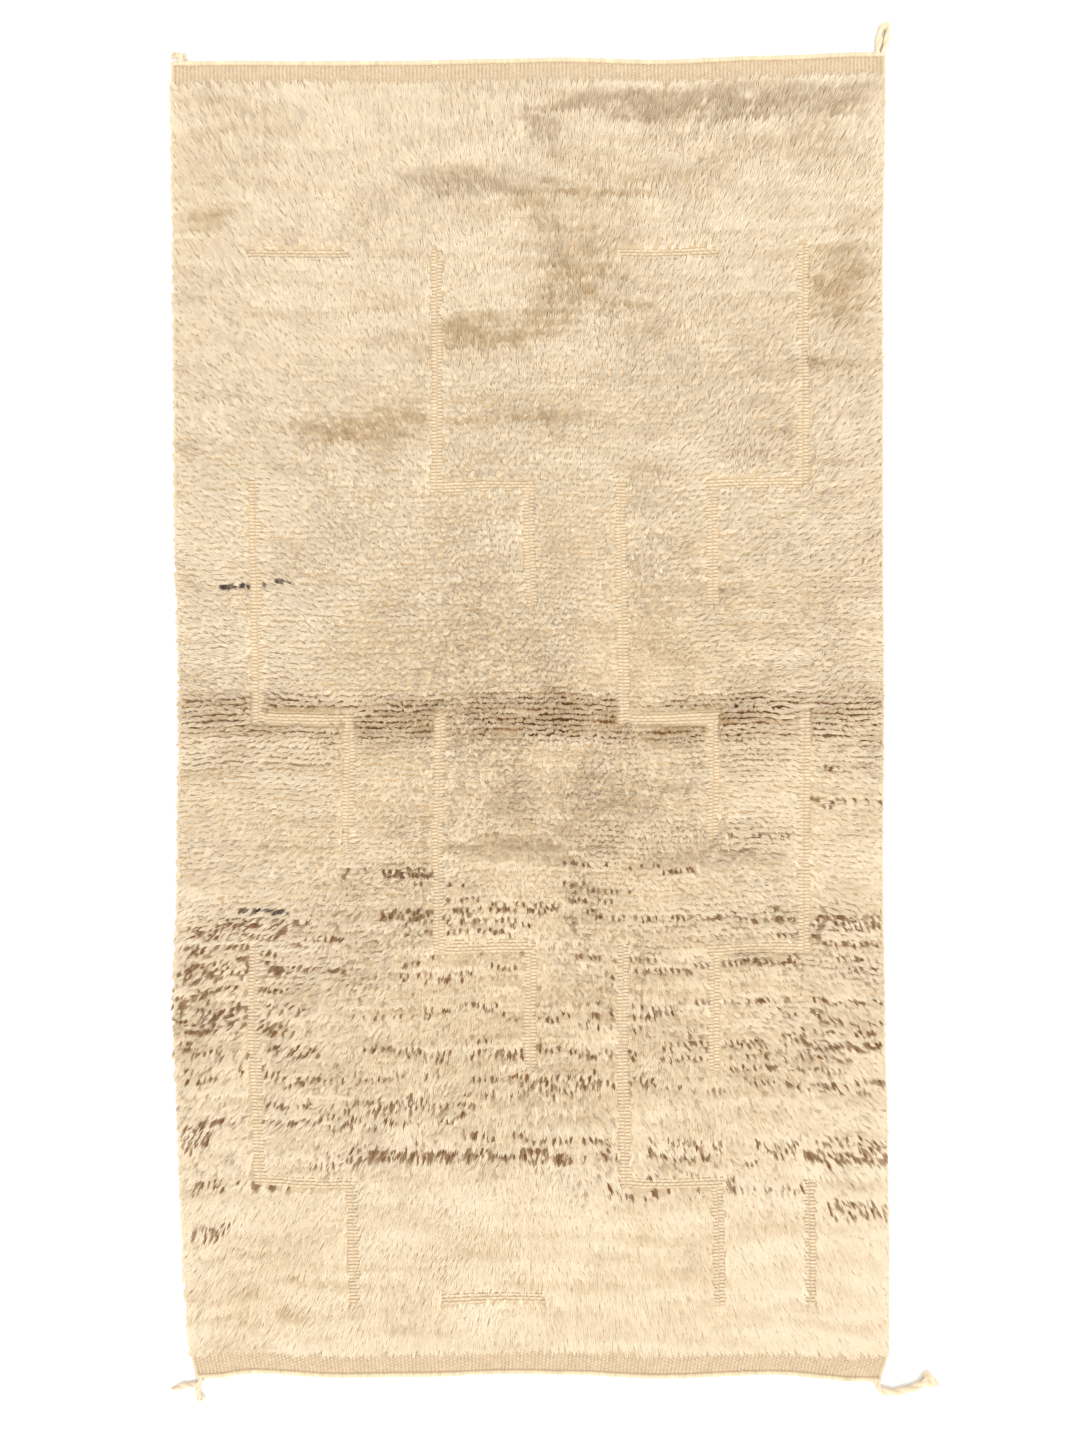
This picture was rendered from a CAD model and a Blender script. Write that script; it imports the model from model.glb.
import math

import bpy
import numpy as np
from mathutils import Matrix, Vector, noise


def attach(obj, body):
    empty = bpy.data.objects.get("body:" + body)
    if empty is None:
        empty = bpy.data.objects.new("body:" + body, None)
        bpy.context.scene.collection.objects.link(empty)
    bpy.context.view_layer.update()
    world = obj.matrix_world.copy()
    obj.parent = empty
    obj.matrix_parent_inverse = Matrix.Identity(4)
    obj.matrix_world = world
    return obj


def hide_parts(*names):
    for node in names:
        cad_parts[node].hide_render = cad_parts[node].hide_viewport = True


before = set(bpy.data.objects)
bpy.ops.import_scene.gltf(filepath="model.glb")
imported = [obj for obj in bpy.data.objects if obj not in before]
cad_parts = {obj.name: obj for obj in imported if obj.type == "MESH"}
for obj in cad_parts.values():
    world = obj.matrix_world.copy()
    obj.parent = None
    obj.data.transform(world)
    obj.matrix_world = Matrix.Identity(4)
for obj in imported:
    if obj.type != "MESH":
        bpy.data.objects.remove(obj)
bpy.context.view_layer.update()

# Camera ---------------------------------------------------
# The rug is looked at from straight above its middle, head end up. The picture takes in 3.02 m of
# floor along its long side, and the camera hangs about 2.4 m up, as the lean of the pile shows.
CAMERA_X, CAMERA_Y, CAMERA_Z = 0.017, -0.006, 2.42
FLOOR_IN_VIEW = 3.024
OUTLINE_HEIGHT = 0.012
SENSOR = 24.0

lens = bpy.data.cameras.new("camera")
lens.sensor_fit = "VERTICAL"
lens.sensor_height = SENSOR
lens.lens = SENSOR * (CAMERA_Z - OUTLINE_HEIGHT) / FLOOR_IN_VIEW
lens.clip_start, lens.clip_end = 0.05, 60.0
camera = bpy.data.objects.new("camera", lens)
camera.location = (CAMERA_X, CAMERA_Y, CAMERA_Z)
bpy.context.scene.collection.objects.link(camera)
bpy.context.scene.camera = camera

# Woven ground ---------------------------------------------
# One thin, stiff cloth of cream wool, woven by hand on a floor loom, so that its sides and ends
# wander. It shows in the channels and at both ends, and under the pile it carries the felted
# roots of the knots, which close it from above. The underside shows the backs of the knots.
HALF_WIDTH, HALF_LENGTH = 0.745, 1.388
# Where the sides run (y, left x, right x), and where the ends run (x, bottom y, top y).
SIDES = (
    (-1.39, -0.708, 0.735), (-1.32, -0.72, 0.752), (-1.14, -0.733, 0.752), (-0.888, -0.743, 0.749),
    (-0.636, -0.754, 0.743), (-0.3, -0.746, 0.739), (0.036, -0.742, 0.741), (0.456, -0.752, 0.739),
    (0.876, -0.754, 0.738), (1.384, -0.759, 0.744),
)
ENDS = (
    (-0.71, -1.392, 1.381), (-0.62, -1.382, 1.382), (-0.43, -1.391, 1.381), (-0.25, -1.389, 1.382),
    (-0.06, -1.383, 1.386), (0.07, -1.385, 1.389), (0.26, -1.393, 1.384), (0.51, -1.385, 1.393),
    (0.7, -1.399, 1.4),
)
WANDER, WANDER_PITCH = 0.006, 0.35
# The channels lie on a grid, in stepped lines of one repeat and in plain bars. Each bar has its
# column, row, columns along and rows up.
COLUMN_PITCH, ROW_PITCH, COLUMNS_EACH_SIDE, ROWS_EACH_SIDE = 0.1925, 0.244, 3, 5
CHANNEL_WIDTH, CHANNEL_SLOPE = 0.028, 0.008
STEP_RISE, STEP_DROP, REPEAT = 2, 1, 4
BARS = ((-3, 4, 1, 0), (1, 4, 1, 0), (-1, -5, 1, 0), (3, -5, 0, 1))
END_BAND = 0.054
PILE_HEIGHT, PILE_LUMP, LUMP_PITCH = 0.0205, 0.0045, 0.085
GROUND_LIFT, GROUND_TOP, ROOTS_TOP = 0.0004, 0.0044, 0.0052
GROUND_STEP, RIM_SLOPE, ROOTS_LUMP = 0.018, 0.02, 0.3
BACK_YARN_X, BACK_YARN_Y, BACK_RELIEF = 0.0065, 0.0075, 0.0022
DARKEST_FIBRE, PALEST_FIBRE, FIBRE_RELIEF = 0.88, 1.08, 0.001
WORN_SHADE = (0.80, 0.74, 0.66, 1.0)
MAP_MARGIN = 0.01
OPEN_RAGGED, OPEN_TAPER = 0.35, 0.07
# Bands in which the rows of knots stand apart: first and last x, y, half height, amount.
OPEN_BANDS = (
    (-0.78, -0.13, 0.004, 0.046, 0.9), (-0.16, 0.24, 0.002, 0.052, 1.0),
    (0.21, 0.78, -0.004, 0.05, 1.0), (-0.78, -0.36, -0.07, 0.045, 0.35),
    (0.3, 0.78, -0.085, 0.045, 0.35), (0.05, 0.6, -0.255, 0.04, 0.3),
    (-0.74, -0.3, -0.48, 0.09, 0.3), (0.2, 0.78, -0.47, 0.08, 0.3),
)


def smooth_step(low, high, at):
    """From 0 at the lower limit to 1 at the higher one, eased at both."""
    share = np.clip((at - low) / (high - low), 0, 1)
    return share * share * (3 - 2 * share)


def eased(rows, at, column):
    """The values in a column at places along the first column, eased from row to row."""
    rows = np.array(rows)
    low = np.clip(np.searchsorted(rows[:, 0], at, side="right") - 1, 0, len(rows) - 2)
    share = smooth_step(rows[low, 0], rows[low + 1, 0], at)
    return rows[low, column] + share * (rows[low + 1, column] - rows[low, column])


def xyz(x, y, z):
    """Places from their x, y and z, each one number or many."""
    return np.stack(np.broadcast_arrays(x, y, z), axis=-1)


def drift(x, y, pitch, layer):
    """Smooth noise from -1 to 1 at many places of the rug. The pitch is one length, or (x, y).
    Each layer is another noise."""
    pitch_x, pitch_y = pitch if isinstance(pitch, tuple) else (pitch, pitch)
    return np.array([
        noise.noise(Vector((a, b, layer)))
        for a, b in zip((x / pitch_x).tolist(), (y / pitch_y).tolist())
    ])


def as_woven(x, y):
    """Places on the even layout, moved to where they lie on the hand-woven rug."""
    left, right = eased(SIDES, y, 1), eased(SIDES, y, 2)
    bottom, top = eased(ENDS, x, 1), eased(ENDS, x, 2)
    across = (x + HALF_WIDTH) / (2 * HALF_WIDTH)
    along = (y + HALF_LENGTH) / (2 * HALF_LENGTH)
    inside = np.minimum(1, 4 * across * (1 - across)) * np.minimum(1, 4 * along * (1 - along))
    inside = np.maximum(inside, 0)
    return (
        left + across * (right - left) + inside * WANDER * drift(x, y, WANDER_PITCH, 3.0),
        bottom + along * (top - bottom) + inside * WANDER * drift(x, y, WANDER_PITCH, 7.0),
    )


def channel_boxes():
    """Each channel on the even layout: lowest x and y, highest x and y."""
    strips = list(BARS)
    for number, column in enumerate(range(-COLUMNS_EACH_SIDE, COLUMNS_EACH_SIDE + 1, 2)):
        run = 1 if column < COLUMNS_EACH_SIDE else -1
        lowest = STEP_DROP - ROWS_EACH_SIDE + number % 2 * REPEAT // 2
        for foot in range(lowest, ROWS_EACH_SIDE - STEP_RISE + 1, REPEAT):
            strips.append((column, foot, 0, STEP_RISE))
            strips.append((column, foot, run, 0))
            strips.append((column + run, foot, 0, -STEP_DROP))
    half = CHANNEL_WIDTH / 2
    return [
        (
            min(column, column + along) * COLUMN_PITCH - half,
            min(row, row + up) * ROW_PITCH - half,
            max(column, column + along) * COLUMN_PITCH + half,
            max(row, row + up) * ROW_PITCH + half,
        )
        for column, row, along, up in strips
    ]


CHANNELS = channel_boxes()


def from_channel(x, y):
    """How far each place is from the nearest channel, with the way to it."""
    best = np.full(x.shape, np.inf)
    way_x, way_y = np.zeros(x.shape), np.zeros(x.shape)
    for low_x, low_y, high_x, high_y in CHANNELS:
        off_x = np.clip(x, low_x, high_x) - x
        off_y = np.clip(y, low_y, high_y) - y
        inside = np.maximum(np.maximum(low_x - x, x - high_x), np.maximum(low_y - y, y - high_y))
        far = np.where(inside > 0, np.hypot(off_x, off_y), inside)
        nearer = far < best
        best = np.where(nearer, far, best)
        length = np.maximum(np.hypot(off_x, off_y), 1e-9)
        way_x = np.where(nearer, off_x / length, way_x)
        way_y = np.where(nearer, off_y / length, way_y)
    return best, way_x, way_y


def linear(red, green, blue):
    """A wool shade given as it is seen on a colour card, 0 to 255, in light units."""
    shade = np.array((red, green, blue)) / 255
    return np.where(shade <= 0.04045, shade / 12.92, ((shade + 0.055) / 1.055) ** 2.4)


def layout_lines(pitch, each_side, limit, extra):
    """Grid lines one way: at the foot and shoulder of each channel, and evenly between."""
    half = CHANNEL_WIDTH / 2
    lines = set(extra)
    for index in range(-each_side, each_side + 1):
        for offset in (-half - CHANNEL_SLOPE, -half, half, half + CHANNEL_SLOPE):
            lines.add(index * pitch + offset)
    lines = sorted(line for line in lines if abs(line) <= limit)
    full = []
    for low, high in zip(lines, lines[1:]):
        count = max(1, round((high - low) / GROUND_STEP))
        full += [low + (high - low) * step / count for step in range(count)]
    return np.array(full + [lines[-1]])


def add_node(tree, kind, sockets=None, **settings):
    """A shader node with its settings. Each socket gets a value, or is joined to another."""
    node = tree.nodes.new("ShaderNode" + kind)
    for name, setting in settings.items():
        setattr(node, name, setting)
    for name, given in (sockets or {}).items():
        if isinstance(given, bpy.types.NodeSocket):
            tree.links.new(given, node.inputs[name])
        else:
            node.inputs[name].default_value = given
    return node


def wool_group():
    """Fibres of raw wool: fine streaks, soft mottling and darker roots, for every material."""
    group = bpy.data.node_groups.new("wool_fibres", "ShaderNodeTree")
    for way, name, kind in (
        ("INPUT", "Tint", "Color"), ("INPUT", "Along", "Float"), ("INPUT", "Root Shade", "Color"),
        ("INPUT", "Fibre Scale", "Float"), ("INPUT", "Mottle Scale", "Float"),
        ("INPUT", "Mottle", "Float"), ("OUTPUT", "Color", "Color"), ("OUTPUT", "Height", "Float"),
    ):
        group.interface.new_socket(name, in_out=way, socket_type="NodeSocket" + kind)
    place = add_node(group, "TexCoord").outputs["Object"]
    given = group.nodes.new("NodeGroupInput").outputs
    fibres = add_node(
        group, "TexNoise", {"Vector": place, "Scale": given["Fibre Scale"], "Detail": 3.0}
    ).outputs["Fac"]
    mottle = add_node(
        group, "TexNoise", {"Vector": place, "Scale": given["Mottle Scale"], "Detail": 4.0}
    ).outputs["Fac"]
    rooted = add_node(
        group, "Mix", {"Factor": given["Along"], "A": given["Root Shade"], "B": given["Tint"]},
        data_type="RGBA",
    )
    shades = {"To Min": DARKEST_FIBRE, "To Max": PALEST_FIBRE}
    spread = add_node(
        group, "MapRange", {"Value": fibres, "From Min": 0.3, "From Max": 0.7, **shades}
    )
    streaked = add_node(
        group, "Mix",
        {"Factor": 1.0, "A": rooted.outputs["Result"], "B": spread.outputs["Result"]},
        data_type="RGBA", blend_type="MULTIPLY",
    )
    patch = add_node(group, "MapRange", {"Value": mottle, "From Min": 0.35, "From Max": 0.65})
    amount = add_node(
        group, "Math", {0: patch.outputs["Result"], 1: given["Mottle"]}, operation="MULTIPLY"
    )
    worn = add_node(
        group, "Mix",
        {"Factor": amount.outputs["Value"], "A": streaked.outputs["Result"], "B": WORN_SHADE},
        data_type="RGBA", blend_type="MULTIPLY",
    )
    result = group.nodes.new("NodeGroupOutput").inputs
    group.links.new(worn.outputs["Result"], result["Color"])
    group.links.new(fibres, result["Height"])
    return group


WOOL = wool_group()


def wool_material(name, root_shade, fibre_scale, mottle_scale, mottle, bump=0.5, sheen=0.15):
    """A wool finish: the shared fibres over the tint and root share that the mesh carries."""
    material = bpy.data.materials.new(name)
    material.use_nodes = True
    tree = material.node_tree
    fibres = add_node(
        tree, "Group",
        {
            "Tint": add_node(tree, "Attribute", attribute_name="tint").outputs["Color"],
            "Along": add_node(tree, "Attribute", attribute_name="along").outputs["Fac"],
            "Root Shade": (*root_shade, 1.0), "Fibre Scale": fibre_scale,
            "Mottle Scale": mottle_scale, "Mottle": mottle,
        },
        node_tree=WOOL,
    ).outputs
    relief = add_node(
        tree, "Bump", {"Strength": bump, "Distance": FIBRE_RELIEF, "Height": fibres["Height"]}
    )
    shader = tree.nodes["Principled BSDF"].inputs
    for socket, value in (
        ("Roughness", 0.92), ("Specular IOR Level", 0.18), ("Sheen Weight", sheen),
        ("Sheen Roughness", 0.55), ("Sheen Tint", (1.0, 0.94, 0.84, 1.0)),
    ):
        shader[socket].default_value = value
    tree.links.new(fibres["Color"], shader["Base Color"])
    tree.links.new(relief.outputs["Normal"], shader["Normal"])
    return material


def piece_of(name, points, faces, tint, along, material):
    """A smooth-shaded piece with a map that looks straight down on it. Its points carry their
    wool tint, and how far along from the shaded root they are."""
    mesh = bpy.data.meshes.new(name)
    mesh.from_pydata(points.tolist(), [], faces, shade_flat=False)
    count = len(points)
    shades = np.ones((count, 4))
    shades[:, :3] = tint
    mesh.attributes.new("tint", "FLOAT_COLOR", "POINT").data.foreach_set("color", shades.ravel())
    share = np.broadcast_to(along, (count,)).astype(float)
    mesh.attributes.new("along", "FLOAT", "POINT").data.foreach_set("value", share)
    corner = np.empty(len(mesh.loops), dtype=int)
    mesh.loops.foreach_get("vertex_index", corner)
    low, high = points[:, :2].min(axis=0), points[:, :2].max(axis=0)
    flat = MAP_MARGIN + (1 - 2 * MAP_MARGIN) * (points[:, :2] - low) / (high - low)
    mesh.uv_layers.new(name="OFBake").data.foreach_set("uv", flat[corner].ravel())
    mesh.materials.append(material)
    piece = bpy.data.objects.new(name, mesh)
    bpy.context.scene.collection.objects.link(piece)
    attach(piece, "root")
    return piece


def pile_room(x, y):
    """How far inside a field of pile each place is, with the way to the nearest channel or band."""
    far, way_x, way_y = from_channel(x, y)
    from_band = HALF_LENGTH - END_BAND - np.abs(y)
    nearer = from_band < far
    way_x = np.where(nearer, 0, way_x)
    way_y = np.where(nearer, np.sign(y), way_y)
    return np.minimum(far, from_band), way_x, way_y


def open_share(x, y):
    """How far the rows of knots stand apart at each place, 0 to 1."""
    total = np.zeros(len(x))
    ragged = 1 + OPEN_RAGGED * drift(x, y, (0.10, 0.04), 35.0)
    for first, last, middle, half, amount in OPEN_BANDS:
        ends = smooth_step(0, OPEN_TAPER, x - first) * smooth_step(0, OPEN_TAPER, last - x)
        off = np.abs(y - middle) / half * ragged
        total = np.maximum(total, amount * ends * (1 - smooth_step(0.75, 1.15, off)))
    return total


def knotted_back():
    """The underside: the backs of the knots and wefts, in beads along each warp."""
    material = wool_material("knotted_back", linear(182, 148, 106), 900, 45, 0.35)
    tree = material.node_tree
    fine = next(node for node in tree.nodes if node.type == "BUMP").outputs["Normal"]
    place = add_node(tree, "TexCoord").outputs["Object"]
    split = add_node(tree, "SeparateXYZ", {"Vector": place})
    waves = []
    for axis, pitch in (("X", BACK_YARN_X), ("Y", BACK_YARN_Y)):
        turn = {0: split.outputs[axis], 1: math.pi / pitch}
        turn = add_node(tree, "Math", turn, operation="MULTIPLY").outputs["Value"]
        waves.append(add_node(tree, "Math", {0: turn}, operation="SINE").outputs["Value"])
    bead = add_node(tree, "Math", {0: waves[0], 1: waves[1]}, operation="MULTIPLY")
    bead = add_node(tree, "Math", {0: bead.outputs["Value"]}, operation="ABSOLUTE")
    beaded = {"Height": bead.outputs["Value"], "Distance": BACK_RELIEF, "Strength": 0.8}
    relief = add_node(tree, "Bump", {"Normal": fine, **beaded})
    tree.links.new(relief.outputs["Normal"], tree.nodes["Principled BSDF"].inputs["Normal"])
    return material


def make_ground():
    """The cloth: woven on top, with felted roots under the pile, and flat and knotted below."""
    sides = (-HALF_WIDTH, HALF_WIDTH)
    lines_x = layout_lines(COLUMN_PITCH, COLUMNS_EACH_SIDE, HALF_WIDTH, sides)
    band = HALF_LENGTH - END_BAND
    lines_y = layout_lines(
        ROW_PITCH, ROWS_EACH_SIDE, HALF_LENGTH,
        (-HALF_LENGTH, -band, CHANNEL_SLOPE - band, band - CHANNEL_SLOPE, band, HALF_LENGTH),
    )
    x, y = (grid.ravel() for grid in np.meshgrid(lines_x, lines_y))
    room = pile_room(x, y)[0]
    rim = smooth_step(0, RIM_SLOPE, HALF_WIDTH - np.abs(x))
    lumps = drift(x, y, LUMP_PITCH, 0.0)
    height = GROUND_TOP + smooth_step(0, CHANNEL_SLOPE, room) * rim * (
        ROOTS_TOP - GROUND_TOP + ROOTS_LUMP * PILE_LUMP * lumps
    )
    top = xyz(*as_woven(x, y), height)
    grid = np.arange(len(top)).reshape(len(lines_y), len(lines_x))
    cells = (grid[:-1, :-1], grid[:-1, 1:], grid[1:, 1:], grid[1:, :-1])
    faces = np.stack(cells, axis=-1).reshape(-1, 4).tolist()
    border = (grid[0], grid[1:, -1], grid[-1, -2::-1], grid[-2:0:-1, 0])
    border = np.concatenate(border).tolist()
    foot = top[border]
    foot[:, 2] = GROUND_LIFT
    start, around = len(top), len(border)
    for index, corner in enumerate(border):
        after = (index + 1) % around
        faces.append([corner, start + index, start + after, border[after]])
    faces.append([start + index for index in range(around - 1, -1, -1)])
    points = np.concatenate([top, foot])
    under_pile = np.concatenate([smooth_step(0, CHANNEL_SLOPE, room), np.zeros(around)])
    parted = np.concatenate([open_share(x, y), np.zeros(around)]) * under_pile
    bare, felted, between_rows = linear(206, 184, 150), linear(210, 188, 154), linear(112, 82, 46)
    tint = bare + under_pile[:, None] * (felted - bare)
    tint = tint + parted[:, None] * (between_rows - tint)
    felt = wool_material("root_felt", linear(182, 148, 106), 420, 45, 0.25, bump=0.8)
    ground = piece_of("ground_weave", points, faces, tint, 1.0, felt)
    ground.data.materials.append(knotted_back())
    ground.data.polygons[len(faces) - 1].material_index = 1
    return ground


ground = make_ground()
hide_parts("rug")

# Channel weave --------------------------------------------
# In the channels no knots are tied, and thick cream wefts float over two or three warps at a time.
# They lie in rows across the rug, packed down by hand, with dark gaps between the rows.
FLOAT_LENGTH, FLOAT_ROW = 0.014, 0.0073
FLOAT_WIDTH, FLOAT_THICKNESS, FLOAT_BASE = 0.0082, 0.0036, 0.0022
FLOAT_STRETCH = (1.20, 1.36)
FLOAT_JITTER, FLOAT_WAVE, SAME_PLACE = 0.0007, 0.0012, 0.006
YARN_SIDES, RING_PLACE, YARN_TILT = 5, 0.58, 0.05


def yarn_floats(x, y, length, width, height, base, turned, seed):
    """Plump little lengths of yarn at many places: two rings of points and two ends."""
    rng = np.random.default_rng(seed)
    count = len(x)
    rings = []
    swell = rng.uniform(0.88, 1.10, (count, 2))
    for share, size in ((-RING_PLACE, 0), (RING_PLACE, 1)):
        for side in range(YARN_SIDES):
            angle = math.pi / 2 + side * math.tau / YARN_SIDES
            across = 0.5 * width * math.cos(angle) * swell[:, size]
            up = base + height * (0.5 + 0.5 * math.sin(angle)) * swell[:, size]
            rings.append((share * 0.5 * length, across, up))
    for share in (-1.0, 1.0):
        rings.append((share * 0.5 * length, 0, base + 0.32 * height))
    lengthways, sideways, up = (
        np.stack([np.broadcast_to(size, (count,)) for size in sizes], axis=1)
        for sizes in zip(*rings)
    )
    tilt = rng.normal(0, YARN_TILT, count) + turned * math.pi / 2
    cos, sin = np.cos(tilt)[:, None], np.sin(tilt)[:, None]
    points = xyz(
        x[:, None] + lengthways * cos - sideways * sin,
        y[:, None] + lengthways * sin + sideways * cos,
        up,
    ).reshape(-1, 3)
    one, first, last = [], 2 * YARN_SIDES, 2 * YARN_SIDES + 1
    for side in range(YARN_SIDES):
        after = (side + 1) % YARN_SIDES
        one.append((side, after, YARN_SIDES + after))
        one.append((side, YARN_SIDES + after, YARN_SIDES + side))
        one.append((first, after, side))
        one.append((last, YARN_SIDES + side, YARN_SIDES + after))
    faces = (np.array(one)[None] + (last + 1) * np.arange(count)[:, None, None]).reshape(-1, 3)
    along = np.clip((points[:, 2] - base) / height, 0, 1)
    return points, faces.tolist(), along


def make_channel_weave():
    """Rows of floats in every channel. Where two channels meet, each place gets one float."""
    places = []
    for low_x, low_y, high_x, high_y in CHANNELS:
        first, last = math.ceil(low_y / FLOAT_ROW), math.floor(high_y / FLOAT_ROW)
        across = max(2, round((high_x - low_x) / FLOAT_LENGTH))
        step = (high_x - low_x) / across
        for row in range(first, last + 1):
            for index in range(across):
                places.append((low_x + (index + 0.5) * step, row * FLOAT_ROW, index, across, row))
    table = np.array(places)
    place = np.stack([np.round(table[:, 0] / SAME_PLACE), table[:, 4]], axis=1)
    table = table[np.sort(np.unique(place, axis=0, return_index=True)[1])]
    rng = np.random.default_rng(5)
    x, y = table[:, 0], table[:, 1]
    long_row = table[:, 3] > 3
    shift = np.where(long_row, (table[:, 4] % 2 - 0.5) * 0.5 * FLOAT_LENGTH, 0)
    x = x + shift + rng.normal(0, FLOAT_JITTER, len(x))
    stepped = smooth_step(-0.2, 0.3, drift(x, y, 0.20, 22.0))
    y = y + FLOAT_WAVE * drift(x, y, 0.03, 21.0)
    y = y + np.where(long_row, 0, (table[:, 2] % 2) * stepped * 0.5 * FLOAT_ROW)
    x, y = as_woven(x, y)
    length = FLOAT_LENGTH * rng.uniform(*FLOAT_STRETCH, len(x))
    points, faces, along = yarn_floats(
        x, y, length, FLOAT_WIDTH, FLOAT_THICKNESS, FLOAT_BASE, 0.0, 6
    )
    shade = 1 + 0.05 * drift(x, y, 0.03, 23.0) + rng.normal(0, 0.03, len(x))
    tint = linear(230, 209, 177) * shade.repeat(len(points) // len(x))[:, None]
    material = wool_material("channel_yarn", linear(164, 136, 100), 1400, 90, 0.2)
    return piece_of("channel_weave", points, faces, tint, along ** 0.8, material)


channel_weave = make_channel_weave()

# End bands ------------------------------------------------
# Each end is closed by five centimetres of plain flat weave without knots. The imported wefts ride
# over and under the warps, which show as fine upright ribs.
RIB_PITCH, RIB_BEAD, RIB_THICKNESS, RIB_BASE = 0.008, 0.0066, 0.0026, 0.0026
RIB_STRETCH, RIB_PLUMP, RIB_JITTER = 1.30, 1.06, 0.0003
SIDE_MARGIN, FIRST_BEAD, UNDER_PILE = 0.004, 0.0098, 0.006
band_yarn = wool_material("band_yarn", linear(184, 154, 114), 1600, 40, 0.35)


def make_end_band(name, end, seed):
    """Ribs of packed wefts from under the hem to under the first rows of pile."""
    columns = np.arange(SIDE_MARGIN - HALF_WIDTH, HALF_WIDTH - 0.003, RIB_PITCH)
    rows = np.arange(FIRST_BEAD, END_BAND + UNDER_PILE, RIB_BEAD)
    x, row = (grid.ravel() for grid in np.meshgrid(columns, rows))
    number = np.meshgrid(np.arange(len(columns)), rows)[0].ravel()
    row = row + (number % 2) * 0.5 * RIB_BEAD
    rng = np.random.default_rng(seed)
    y = end * (HALF_LENGTH - row)
    x, y = as_woven(x + rng.normal(0, RIB_JITTER, len(x)), y)
    points, faces, along = yarn_floats(
        x, y, RIB_BEAD * RIB_STRETCH, RIB_PITCH * RIB_PLUMP, RIB_THICKNESS, RIB_BASE, 1.0, seed + 1
    )
    shade = rng.normal(1.0, 0.035, len(x)).repeat(len(points) // len(x))[:, None]
    band = piece_of(name, points, faces, linear(219, 197, 167) * shade, along ** 0.5, band_yarn)
    return band


top_band = make_end_band("end_band_top", 1, 31)
bottom_band = make_end_band("end_band_bottom", -1, 41)

# Hems -----------------------------------------------------
# The last centimetre of each end is turned over and stitched down to a plump, paler roll, which
# keeps the wefts from slipping off the warps.
HEM_THICKNESS, HEM_ROLL = 0.0085, 0.0105
HEM_SIDES, HEM_STEP = 10, 0.00325
STITCH_BULGE, HEM_UNEVEN, HEM_SWELL = 0.06, 0.035, 0.12
LOWEST = 0.0003
hem_wool = wool_material("hem_wool", linear(196, 164, 120), 1500, 60, 0.2, sheen=0.2)


def make_hem(name, end, seed):
    """A roll across one end, drawn in by its stitches and closed at both sides."""
    rng = np.random.default_rng(seed)
    x = np.arange(-HALF_WIDTH, HALF_WIDTH + 0.001, HEM_STEP)
    count = len(x)
    stitches = np.cos(np.arange(count) * math.pi)
    bulge = 1 + STITCH_BULGE * stitches + rng.normal(0, HEM_UNEVEN, count)
    bulge *= 1 + HEM_SWELL * drift(x, x * 0, 0.09, 13.0 + end)
    taper = np.ones(count)
    taper[[0, -1]] = 0.45
    taper[[1, -2]] = 0.85
    middle = HALF_LENGTH - 0.45 * HEM_ROLL
    woven_x, woven_y = as_woven(x, end * (middle + 0 * x))
    rings = []
    for side in range(HEM_SIDES):
        angle = side * math.tau / HEM_SIDES
        out = 0.5 * HEM_ROLL * math.cos(angle) * bulge * taper
        up = 0.5 * HEM_THICKNESS * (1 + math.sin(angle) * bulge * taper)
        rings.append(xyz(woven_x, woven_y + end * out, up + LOWEST))
    points = np.stack(rings, axis=1).reshape(-1, 3)
    points[:, 2] = np.maximum(points[:, 2], LOWEST)
    faces = []
    for ring in range(count - 1):
        for side in range(HEM_SIDES):
            after = (side + 1) % HEM_SIDES
            low, high = ring * HEM_SIDES, (ring + 1) * HEM_SIDES
            face = [low + side, high + side, high + after, low + after]
            faces.append(face if end > 0 else face[::-1])
    first = list(range(HEM_SIDES))
    last = [len(points) - HEM_SIDES + side for side in first]
    faces += [first, last[::-1]] if end > 0 else [first[::-1], last]
    shade = 0.10 * drift(x, x * 0, 0.03, 14.0 + end) + rng.normal(1.0, 0.06, count)
    shade = shade.repeat(HEM_SIDES)[:, None]
    along = np.clip(points[:, 2] / HEM_THICKNESS, 0, 1)
    hem = piece_of(name, points, faces, linear(228, 209, 176) * shade, along, hem_wool)
    return hem


top_hem = make_hem("hem_top", 1, 51)
bottom_hem = make_hem("hem_bottom", -1, 52)

# Selvedges ------------------------------------------------
# Along both sides the wefts turn back round a few doubled warps, bound into a firm rounded cord.
# The outermost locks hang over it, and it shows bare at the end bands.
SELVEDGE_THICK, SELVEDGE_TURN, SELVEDGE_STEP = 0.007, 0.0085, 0.00425
SELVEDGE_IN, SELVEDGE_RIDGE = 0.35, 0.10
STRAND_RIDGE, GROOVE_SHADE = 0.11, 0.38


def bearings(path):
    """The ways ahead, aside and up from each place of a path that never stands upright."""
    heading = np.gradient(path, axis=0)
    heading /= np.linalg.norm(heading, axis=1)[:, None]
    aside = np.cross((0.0, 0.0, 1.0), heading)
    aside /= np.linalg.norm(aside, axis=1)[:, None]
    return heading, aside, np.cross(heading, aside)


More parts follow.
